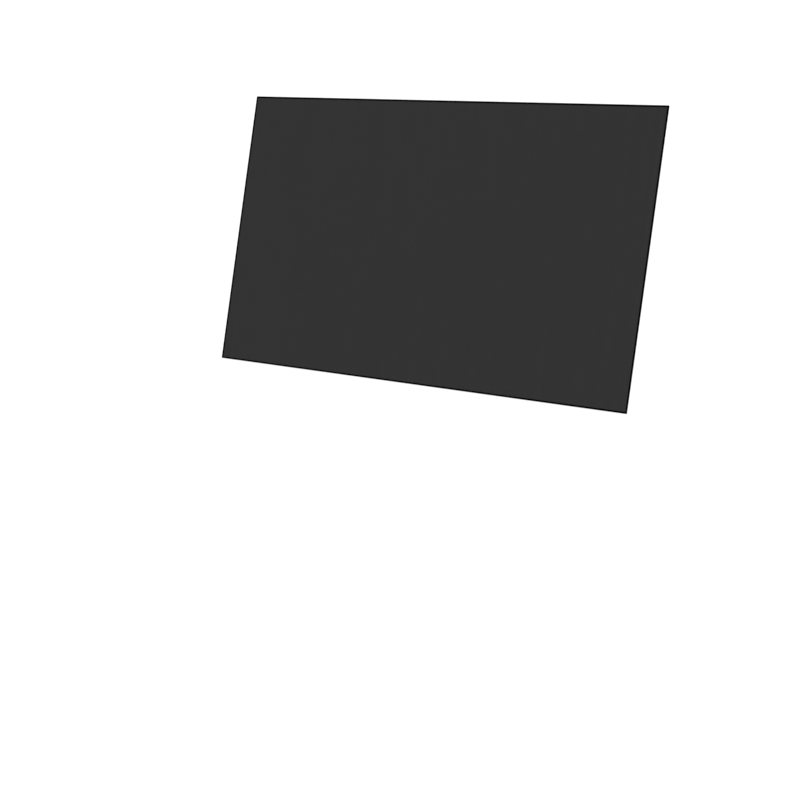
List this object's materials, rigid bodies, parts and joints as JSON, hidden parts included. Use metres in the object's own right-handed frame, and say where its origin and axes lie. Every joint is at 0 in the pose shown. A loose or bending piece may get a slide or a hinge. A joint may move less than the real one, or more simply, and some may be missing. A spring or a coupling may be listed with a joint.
{
  "type": "laptop privacy filter",
  "caption": "Flat rectangular sheet of smoked see-through film with a narrow black rim, laid over a wide laptop screen so that only the person in front can read it.",
  "frame": {"origin": "middle of the back face, on the surface that the sheet lies on", "axes": "+X along the width, to the user's right; +Y up the height, to the top edge; +Z out of the front face, to the user"},
  "size_m": [0.344, 0.194, 0.0005],
  "materials": {
    "smoked_film": "smoked neutral grey film, see-through, satin anti-glare coat on both faces, black sealed rim"
  },
  "bodies": {
    "root": {"filter_sheet": "smoked_film"}
  },
  "joints": []
}
